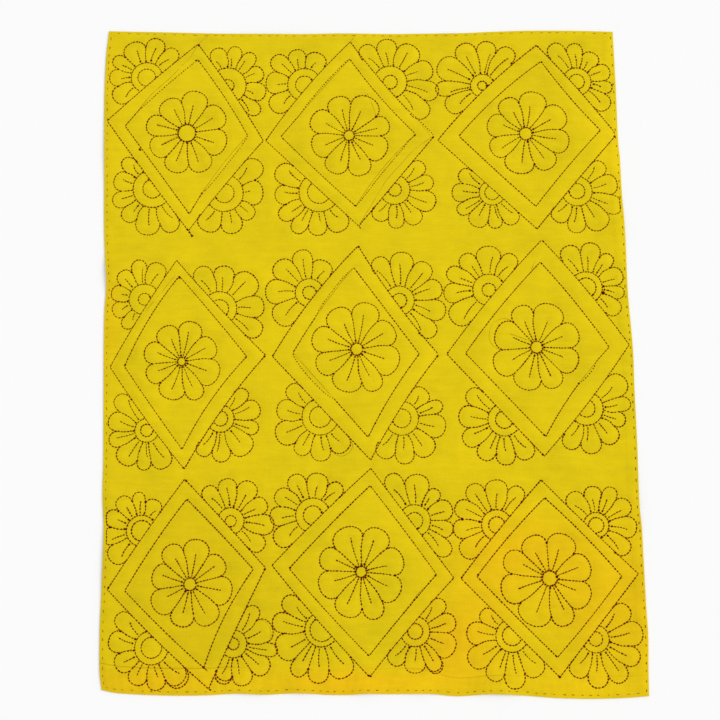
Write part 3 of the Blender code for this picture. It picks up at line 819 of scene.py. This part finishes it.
def build_cloth(stitched, material):
    x, y = (grid.ravel() for grid in cloth_grid(FOLD_ROUNDING))
    to_stitches = stitched.distance(x, y)
    low = underside(x, y, to_stitches)
    high = lift(x, y) + thickness(x, y, to_stitches)
    index = np.arange(len(x)).reshape(FACES_ACROSS + 1, FACES_ALONG + 1)
    rim, kept = rim_of(index), kept_below(index.shape)
    flat = np.column_stack([x, y])
    outward = np.column_stack([rim_of(grid) for grid in cloth_grid(0)]) - flat[rim]
    edge, flat_edge = folded_edge(flat[rim], outward, low[rim], high[rim])
    numbers = len(x) + np.arange(len(edge) * len(rim)).reshape(len(edge), len(rim))
    under = np.full(index.shape, -1)
    under.ravel()[kept] = numbers[-1, -1] + 1 + np.arange(len(kept))
    faces, upper_count = cloth_faces(index, [rim, *numbers, rim_of(under)], under)
    points = np.concatenate([np.column_stack([x, y, high]), *edge,
                             np.column_stack([x, y, low])[kept]])
    flat = np.concatenate([flat, *flat_edge, flat[kept]])
    cloth = new_mesh("quilt_cloth", points, faces, material)
    add_uv(cloth, "OFBake", cloth_map(cloth.data, flat, upper_count))
    add_cloth_numbers(cloth, stitched, *points[:, :2].T)
    return cloth


def add_cloth_numbers(cloth, stitched, x, y):
    """What the cotton's material is told about each point."""
    shade, warm = tones(x, y)
    past_bottom_hem, past_right_hem = past_hems(x, y)
    numbers = {
        "to_stitches": stitched.distance(x, y),
        "shade": shade,
        "warm": warm,
        "past_bottom_hem": past_bottom_hem,
        "past_right_hem": past_right_hem,
        "hem_shows": smooth(HEM_SHOWS, x),
        "from_fold": y - FOLD_AT,
    }
    for name, values in numbers.items():
        add_number(cloth, name, values)


MAP_MARGIN = 0.004
FACE_SHARE = 0.8  # of the map's width, for the quilt's face
MAP_GAP = 0.12  # on each side of a stitch's place on its own map, as a share of it


def cloth_map(mesh, flat, upper_count):
    """Each face corner's place on the map: the face on its left and the underside on its right."""
    low, high = flat.min(axis=0), flat.max(axis=0)
    share = (flat - low) / (high - low)
    corner_points = np.empty(len(mesh.loops), int)
    mesh.loops.foreach_get("vertex_index", corner_points)
    sizes = np.empty(len(mesh.polygons), int)
    mesh.polygons.foreach_get("loop_total", sizes)
    upper = np.repeat(np.arange(len(sizes)) < upper_count, sizes)
    u, v = share[corner_points].T
    start = np.where(upper, 0, FACE_SHARE) + MAP_MARGIN
    width = np.where(upper, FACE_SHARE, 1 - FACE_SHARE) - 2 * MAP_MARGIN
    return np.stack([start + u * width, MAP_MARGIN + v * (1 - 2 * MAP_MARGIN)], axis=1)


CLEAR_OF_CLOTH = 0.05  # metres above or below it, where rays towards it start


class Surface:
    """The cloth's own faces, to lay threads and lines on."""

    def __init__(self, cloth):
        mesh = cloth.data
        points = [vertex.co.copy() for vertex in mesh.vertices]
        self.tree = BVHTree.FromPolygons(points, [tuple(face.vertices) for face in mesh.polygons])

    def heights(self, places, above=True):
        """The face's heights at places, or the underside's, in millimetres."""
        side = 1 if above else -1
        way = Vector((0, 0, -side))
        found = []
        for x, y in places:
            start = Vector((x * MM, y * MM, side * CLEAR_OF_CLOTH))
            hit = self.tree.ray_cast(start, way)[0] or self.tree.find_nearest(start)[0]
            found.append(hit.z / MM)
        return np.array(found)

    def along_stitches(self, starts, ends, above=True):
        """The heights at each stitch's start, middle and end."""
        places = (starts, (starts + ends) / 2, ends)
        return np.stack([self.heights(place, above) for place in places], axis=1)


# Threads. A stitch is a short thread whose two ends dive into the cloth.

# A stitch's rings have their share of its length and width, and how many half widths their
# middles stand off the cloth. A shape also has the angles of the points around its rings, and
# which way is off the cloth.
Ring = namedtuple("Ring", "at width rise")
Shape = namedtuple("Shape", "rings around way")
FRONT = Shape(
    (Ring(0.1, 0.82, -0.1), Ring(0.36, 1.0, 0.16), Ring(0.64, 1.0, 0.16), Ring(0.9, 0.82, -0.1)),
    (-20, 25, 65, 115, 155, 200), 1)
BACK = Shape((Ring(0.5, 1.0, 0.1),), (0, 90, 180, 270), -1)
TIP_RISE = -0.5
FLATNESS = 0.62  # a stitch's height as a share of its width
BACK_WIDTH = 0.7
BACK_SHADE = 0.2
BACK_CLEAR = 0.32  # how far above the floor the middle of a thread on the underside stays


def stitch_faces(shape):
    """One stitch's faces, as point numbers, and each corner's place along and around it."""
    rings, sides = len(shape.rings), len(shape.around)
    last = 1 + rings * sides
    along = (0.0, *(ring.at for ring in shape.rings), 1.0)
    faces, places = [], []
    for side in range(sides):
        after = (side + 1) % sides
        faces.append((0, 1 + after, 1 + side))
        places += [(along[0], side + 0.5), (along[1], side + 1), (along[1], side)]
        for ring in range(rings - 1):
            first, second = 1 + ring * sides, 1 + (ring + 1) * sides
            faces.append((first + side, first + after, second + after, second + side))
            places += [(along[ring + 1], side), (along[ring + 1], side + 1),
                       (along[ring + 2], side + 1), (along[ring + 2], side)]
        end = last - sides
        faces.append((end + side, end + after, last))
        places += [(along[-2], side), (along[-2], side + 1), (along[-1], side + 0.5)]
    return faces, np.array(places) / (1, sides)


def stitch_points(starts, ends, widths, heights, shape):
    """The points of each stitch: its first tip, its rings' and its other tip."""
    run = ends - starts
    across, half = leftward(run), widths / 2
    points = np.empty((len(starts), len(shape.rings) * len(shape.around) + 2, 3))
    for tip, places, height in ((0, starts, heights[:, 0]), (-1, ends, heights[:, 2])):
        points[:, tip, :2] = places
        points[:, tip, 2] = height + shape.way * TIP_RISE * half
    k = 1
    for ring in shape.rings:
        curve = lerp(lerp(heights[:, 0], heights[:, 1], min(1, 2 * ring.at)),
                     heights[:, 2], max(0, 2 * ring.at - 1))
        middle = starts + run * ring.at
        for angle in map(math.radians, shape.around):
            rise = shape.way * ring.rise + FLATNESS * ring.width * math.sin(angle)
            points[:, k, :2] = middle + across * (half * ring.width * math.cos(angle))[:, None]
            points[:, k, 2] = curve + half * rise
            k += 1
    return points


def thread_piece(name, starts, ends, widths, heights, shades, material, shape=FRONT):
    """One object of many stitches. heights are the cloth's at each start, middle and end."""
    points = stitch_points(starts, ends, widths, heights, shape)
    count, size = points.shape[:2]
    faces, places = stitch_faces(shape)
    all_faces = [tuple(c + i * size for c in face) for i in range(count) for face in faces]
    piece = new_mesh(name, points.reshape(-1, 3), all_faces, material)
    add_number(piece, "shade", np.repeat(shades, size))
    columns = math.ceil(math.sqrt(count))
    cells = np.stack([np.arange(count) % columns, np.arange(count) // columns], axis=1)
    on_map = (cells[:, None] + MAP_GAP + (1 - 2 * MAP_GAP) * places) / columns
    add_uv(piece, "OFBake", on_map.reshape(-1, 2))
    lengths = np.stack([np.hypot(*(ends - starts).T), np.ones(count)], axis=1)
    add_uv(piece, "twist", (places[None] * lengths[:, None]).reshape(-1, 2))
    return piece


def sew(name, rows, surface, material, seed, thicker=1.0):
    """The stitches of some rows on the quilt's face, and where they run behind it."""
    chance = random.Random(seed)
    starts, ends, widths, shades = [], [], [], []
    for row in rows:
        if row.stitched is None:
            continue
        start, end = stitches_on(row, chance)
        how = STITCHINGS[row.kind]
        weight = chance.uniform(*ROW_WIDTHS) * how.width * thicker
        tone = chance.uniform(*ROW_SHADES)
        width = [weight * chance.uniform(*STITCH_WIDTHS) for _ in start]
        shade = [how.faded + tone + STITCH_SHADE * chance.random() ** SHADE_POWER for _ in start]
        if chance.random() < how.knotted:
            width[0] *= KNOT_SWELL
            shade[0] = 0
        starts.append(start)
        ends.append(end)
        widths += width
        shades += shade
    back_starts = np.concatenate([end[:-1] for end in ends])
    back_ends = np.concatenate([start[1:] for start in starts])
    starts, ends = np.concatenate(starts), np.concatenate(ends)
    heights = surface.along_stitches(starts, ends)
    front = thread_piece(name, starts, ends, np.array(widths), heights, np.array(shades), material)
    return front, back_starts, back_ends


def sew_back(starts, ends, surface, material):
    """The short threads that show on the underside between the stitches of its face."""
    heights = np.maximum(surface.along_stitches(starts, ends, above=False), BACK_CLEAR)
    widths, shades = np.full(len(starts), BACK_WIDTH), np.full(len(starts), BACK_SHADE)
    return thread_piece("reverse_stitches", starts, ends, widths, heights, shades, material, BACK)


# Drawn lines, each a low strip with its base in the cloth

DRAWN_WIDTH = 1.25
DRAWN_RISE = 0.1
DRAWN_DEPTH = 0.2
DRAWN_PACE = 4.0
DRAWN_MAP = 0.8  # of a line's share of the map, for the line


def drawn_points(line, surface):
    """The points along a drawn line: of its two sides, in the cloth, and of its ridge."""
    whole = travelled(line)[-1]
    count = max(2, round(whole / DRAWN_PACE) + 1)
    middle = points_at(line, np.linspace(0, whole, count))
    out = leftward(np.gradient(middle, axis=0)) * DRAWN_WIDTH / 2
    height = surface.heights(middle)
    sides = [(middle - out, -DRAWN_DEPTH), (middle, DRAWN_RISE), (middle + out, -DRAWN_DEPTH)]
    return np.stack([np.column_stack([place, height + rise]) for place, rise in sides], axis=1)


def drawn_faces(count):
    """A drawn line's faces, as point numbers, and each corner's place along and around it."""
    faces, places = [(0, 1, 2)], [(0, 0), (0, 1), (0.001, 1)]
    for i in range(count - 1):
        here, u0, u1 = 3 * i, i / count, (i + 1) / count
        for side in range(3):
            after = (side + 1) % 3
            faces.append((here + side, here + 3 + side, here + 3 + after, here + after))
            low, high = side / 3, (side + 1) / 3
            places += [(u0, low), (u1, low), (u1, high), (u0, high)]
    end = 3 * (count - 1)
    faces.append((end + 2, end + 1, end))
    places += [(1, 0), (1, 1), (0.999, 1)]
    return faces, places


def draw_lines(lines, surface, material):
    points, faces, maps = [], [], []
    for number, line in enumerate(lines):
        strip = drawn_points(np.array(line, float), surface)
        own_faces, places = drawn_faces(len(strip))
        start = 3 * sum(len(p) for p in points)
        faces += [tuple(start + c for c in face) for face in own_faces]
        maps += [(u, (number + DRAWN_MAP * v) / len(lines)) for u, v in places]
        points.append(strip)
    piece = new_mesh("drawn_lines", np.concatenate(points).reshape(-1, 3), faces, material)
    add_uv(piece, "OFBake", maps)
    return piece


# Materials


def linear(red, green, blue):
    """An sRGB colour, each from 0 to 255, as a shader takes it."""
    values = [c / 255 for c in (red, green, blue)]
    return [c / 12.92 if c <= 0.04045 else ((c + 0.055) / 1.055) ** 2.4 for c in values] + [1]


def node(material, kind, inputs=None, **settings):
    """A new shader node. An input, by name or number, is set to a value or a node's output."""
    made = material.node_tree.nodes.new("ShaderNode" + kind)
    for name, value in settings.items():
        setattr(made, name, value)
    for key, value in (inputs or {}).items():
        if isinstance(value, bpy.types.NodeSocket):
            material.node_tree.links.new(value, made.inputs[key])
        else:
            made.inputs[key].default_value = value
    return made


def calculate(material, operation, *values):
    return node(material, "Math", dict(enumerate(values)), operation=operation).outputs[0]


def attribute(material, name):
    return node(material, "Attribute", attribute_name=name).outputs["Fac"]


def new_material(name, colour, roughness, gloss, sheen=0.0):
    material = bpy.data.materials.new(name)
    material.use_nodes = True
    settings = {"Base Color": colour, "Roughness": roughness, "Specular IOR Level": gloss,
                "Sheen Weight": sheen, "Sheen Roughness": 0.5, "Sheen Tint": colour}
    for key, value in settings.items():
        material.node_tree.nodes["Principled BSDF"].inputs[key].default_value = value
    return material


def drive(material, key, output):
    """Lets a node's output set an input of the material's shader."""
    shader = material.node_tree.nodes["Principled BSDF"]
    material.node_tree.links.new(output, shader.inputs[key])


def raised(material, height, distance):
    """Bumps of a height, in units of a distance."""
    bump = node(material, "Bump", {"Height": height, "Distance": distance, "Strength": 1.0})
    drive(material, "Normal", bump.outputs[0])


def mixed(material, share, first, second, blend="MIX"):
    """Two colours mixed by a share."""
    made = node(material, "Mix", {0: share, 6: first, 7: second}, data_type="RGBA",
                blend_type=blend)
    return made.outputs[2]


CONTRAST = 3.0  # that noise from 0 to 1 is stretched by


def grain(material, places, size, detail, stretch):
    """Noise around 0, from about -1 to 1, with spots of about a size in millimetres."""
    stretched = node(material, "Mapping", {"Vector": places, "Scale": stretch}).outputs[0]
    spots = node(material, "TexNoise", {"Vector": stretched, "Scale": 1 / (size * MM),
                                        "Detail": detail}).outputs[0]
    return calculate(material, "MULTIPLY_ADD", spots, CONTRAST, -CONTRAST / 2)


def weighted(material, values, weights):
    """The sum of the values that have a weight, each times its weight."""
    total = 0.0
    for key, weight in weights.items():
        total = calculate(material, "MULTIPLY_ADD", values[key], weight, total)
    return total


def line_at(material, distance, half_width):
    """1 where a distance is 0, falling to 0 at half a width to either side."""
    away = calculate(material, "ABSOLUTE", distance)
    return node(material, "MapRange", {0: away, 1: 0.0, 2: half_width, 3: 1.0, 4: 0.0},
                interpolation_type="SMOOTHSTEP").outputs[0]


WEAVE_PITCH = 0.55  # from one cotton thread to the next
# The sizes of the cotton's uneven patterns, how fine they are and how they are stretched
Grain = namedtuple("Grain", "size detail stretch", defaults=(2.0, (1, 1, 1)))
GRAINS = {
    "broad": Grain(70),
    "middling": Grain(24, 3.0),
    "wrinkles": Grain(7, 2.0, (0.2, 1, 1)),
    "puckers": Grain(5.5),
    "weft_slubs": Grain(1.0, 1.0, (0.04, 1, 1)),
    "warp_slubs": Grain(1.2, 1.0, (1, 0.04, 1)),
}
# From 1 mm off a row of stitches to 9 mm the puckers fade to a quarter
PUCKERS_FADE = {1: 1.0, 2: 9.0, 3: 1.0, 4: 0.25}
# A hem's inner edge and the fold show as a dip and as a line of painted shade
HEM_LINE = 1.6  # half the widths over which a hem's inner edge and the fold show
FOLD_LINE = 3.5
# How much each pattern lightens the cotton, and how far it raises it, in millimetres. The weave,
# puckers, wrinkles, hem lines and fold are painted lighter where they stand high and darker where
# they dip: painted light and painted shade. The rest is the cotton's own uneven tone, with the
# zones' painted shade on the right edge.
TONES_AND_PAINTED_SHADE = {"shade": 1.0, "broad": 0.07, "middling": 0.046, "puckers": 0.02, "weft_slubs": 0.02,
         "warp_slubs": 0.014, "weave": 0.05, "bottom_hem": -0.25, "right_hem": -0.02,
         "fold": -0.015, "wrinkles": 0.05}
RISES = {"weave": 0.05, "weft_slubs": 0.035, "warp_slubs": 0.03, "puckers": 0.16, "middling": 0.1,
         "bottom_hem": -0.15, "right_hem": -0.05, "fold": -0.08, "wrinkles": 0.24}
MEAN_TONE = 0.975
BROAD_WARMTH = 0.06  # how much more orange the broad pattern makes the cotton


def plain_weave(material, places):
    """How high the threads of a plain weave stand, from 0 to 1."""
    axes = node(material, "SeparateXYZ", {0: places}).outputs
    humps = []
    for axis in (0, 1):
        turn = calculate(material, "MULTIPLY", axes[axis], math.pi / (WEAVE_PITCH * MM))
        humps.append(calculate(material, "ABSOLUTE", calculate(material, "SINE", turn)))
    flat = node(material, "CombineXYZ", {0: axes[0], 1: axes[1], 2: 0.0001}).outputs[0]
    over = node(material, "TexChecker", {0: flat, "Scale": 1 / (WEAVE_PITCH * MM)}).outputs[1]
    return node(material, "Mix", {0: over, 2: humps[0], 3: humps[1]}).outputs[0]


def cotton_patterns(material):
    places = node(material, "TexCoord").outputs["Object"]
    patterns = {name: grain(material, places, *how) for name, how in GRAINS.items()}
    patterns["weave"] = plain_weave(material, places)
    for name in ("shade", "warm"):
        patterns[name] = attribute(material, name)
    fade = {0: attribute(material, "to_stitches"), **PUCKERS_FADE}
    near = node(material, "MapRange", fade).outputs[0]
    patterns["puckers"] = calculate(material, "MULTIPLY", patterns["puckers"], near)
    # The hem lines and the fold darken the cotton along their dips: painted shade
    hem_line = line_at(material, attribute(material, "past_bottom_hem"), HEM_LINE)
    shows = attribute(material, "hem_shows")
    patterns["bottom_hem"] = calculate(material, "MULTIPLY", shows, hem_line)
    patterns["right_hem"] = line_at(material, attribute(material, "past_right_hem"), HEM_LINE)
    patterns["fold"] = line_at(material, attribute(material, "from_fold"), FOLD_LINE)
    return patterns


def yellow_cotton():
    material = new_material("yellow_cotton", YELLOW, 0.92, 0.12, 0.06)
    patterns = cotton_patterns(material)
    warm = calculate(material, "MULTIPLY_ADD", patterns["broad"], BROAD_WARMTH, patterns["warm"])
    hue = node(material, "Clamp", {0: warm}).outputs[0]
    colour = mixed(material, hue, YELLOW, ORANGE)
    # The cotton's own uneven tone plus painted shade: darker in the hollows of the weave, puckers,
    # wrinkles, fold and hem lines, lighter on their tops
    light = calculate(material, "ADD", weighted(material, patterns, TONES_AND_PAINTED_SHADE), MEAN_TONE)
    drive(material, "Base Color", mixed(material, 1.0, colour, light, "MULTIPLY"))
    raised(material, weighted(material, patterns, RISES), MM)
    return material


TWIST_PITCH = 1.3  # how far along the thread its twist goes once round
STRANDS = 2  # that the thread is twisted from
# how much darker the twist's grooves and lighter its crests are painted: painted shade
PAINTED_GROOVE_SHADE = 0.12
STRAND_RISE = 0.12


def thread(name, dark, light):
    material = new_material(name, dark, 0.8, 0.03, 0.02)
    places = node(material, "UVMap", uv_map="twist").outputs[0]
    axes = node(material, "SeparateXYZ", {0: places}).outputs
    turns = {0: 2 * math.pi / TWIST_PITCH, 1: 2 * math.pi * STRANDS}
    strands = calculate(material, "SINE", weighted(material, axes, turns))
    # The strands' grooves are painted darker and their crests lighter: painted shade on the twist
    shades = {"shade": attribute(material, "shade"), "strands": strands}
    share = weighted(material, shades, {"shade": 1.0, "strands": PAINTED_GROOVE_SHADE})
    drive(material, "Base Color", mixed(material, share, dark, light))
    raised(material, strands, STRAND_RISE * MM)
    return material


PENCIL_GRAIN = Grain(4, 3.0)
RUBBED = 0.05  # how much of the drawn lines is rubbed off, and how unevenly
RUBBED_UNEVENLY = 0.4


def pencil():
    material = new_material("drawn_line", PENCIL, 0.85, 0.2)
    places = node(material, "TexCoord").outputs["Object"]
    spots = grain(material, places, *PENCIL_GRAIN)
    worn = calculate(material, "MULTIPLY_ADD", spots, RUBBED_UNEVENLY, RUBBED)
    rubbed = node(material, "Clamp", {0: worn}).outputs[0]
    drive(material, "Base Color", mixed(material, rubbed, PENCIL, YELLOW))
    return material


YELLOW = linear(221, 195, 10)
ORANGE = linear(233, 181, 10)
DARK_MAROON = linear(80, 8, 2)
LIGHT_MAROON = linear(146, 34, 5)
DARK_AMBER = linear(128, 76, 14)
LIGHT_AMBER = linear(172, 116, 20)
PENCIL = linear(92, 62, 3)
FLOOR = linear(247, 247, 247)
FLOOR_SIZE = 8
FLOOR_AT = (0, 0, -0.0004)  # just below the cloth

# A pale room all around, and a broad soft light from the right
ROOM_LIGHT = 0.767
LIGHT_STRENGTH = 1.4
LIGHT_FROM = (0.9, 0.3, 0.72)
LIGHT_SPREAD = 34


def look_from(thing, place, at):
    """Puts a lamp or a camera at a place and turns it to another."""
    thing.location = place
    towards = Vector(at) - Vector(place)
    thing.rotation_euler = towards.to_track_quat("-Z", "Y").to_euler()


def floor_and_lights():
    bpy.ops.mesh.primitive_plane_add(size=FLOOR_SIZE, location=FLOOR_AT)
    floor = bpy.context.object
    floor.name = "floor"
    floor.data.materials.append(new_material("pale_floor", FLOOR, 0.9, 0.1))
    world = bpy.data.worlds.new("pale room")
    world.use_nodes = True
    background = world.node_tree.nodes["Background"].inputs
    background["Color"].default_value = (1, 1, 1, 1)
    background["Strength"].default_value = ROOM_LIGHT
    bpy.context.scene.world = world
    light = bpy.data.lights.new("window", "SUN")
    light.energy = LIGHT_STRENGTH
    light.angle = math.radians(LIGHT_SPREAD)
    look_from(add_object("window", light), LIGHT_FROM, (0, 0, 0))


def set_camera():
    data = bpy.data.cameras.new("camera")
    data.lens = LENS
    data.sensor_width = SENSOR
    camera = add_object("camera", data)
    look_from(camera, CAMERA_AT, LOOKED_AT)
    bpy.context.scene.camera = camera


def corners(bounds):
    return [list(corner) for corner in bounds]


def sew_quilt(cells, surface):
    """The threads of the cells and the border, and those on the underside."""
    maroon = thread("maroon_thread", DARK_MAROON, LIGHT_MAROON)
    threads, back_starts, back_ends = [], [], []
    for seed, (name, rows) in enumerate(cells.items()):
        piece, starts, ends = sew("stitches_" + name.replace(" ", "_"), rows, surface, maroon,
                                  seed, THREAD_WEIGHTS.get(name, 1.0))
        threads.append(piece)
        back_starts.append(starts)
        back_ends.append(ends)
    amber = thread("amber_thread", DARK_AMBER, LIGHT_AMBER)
    threads.append(sew("border_stitches", border_rows(), surface, amber, BORDER_SEED)[0])
    threads.append(sew_back(np.concatenate(back_starts), np.concatenate(back_ends), surface,
                            maroon))
    return threads


def main():
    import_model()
    set_camera()
    floor_and_lights()
    bpy.context.scene.view_settings.view_transform = "Standard"

    cells = {name: cell_rows(name, cell) for name, cell in CELLS.items()}
    rows = [row for one_cell in cells.values() for row in one_cell]
    cloth = build_cloth(Stitched(rows), yellow_cotton())
    surface = Surface(cloth)
    threads = sew_quilt(cells, surface)
    lines = [row.drawn for row in rows if row.drawn is not None]
    threads.append(draw_lines([*lines, *DRAWN_LINES], surface, pencil()))

    for piece in [cloth, *threads]:
        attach(piece, "root")
    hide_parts("quilt")


main()
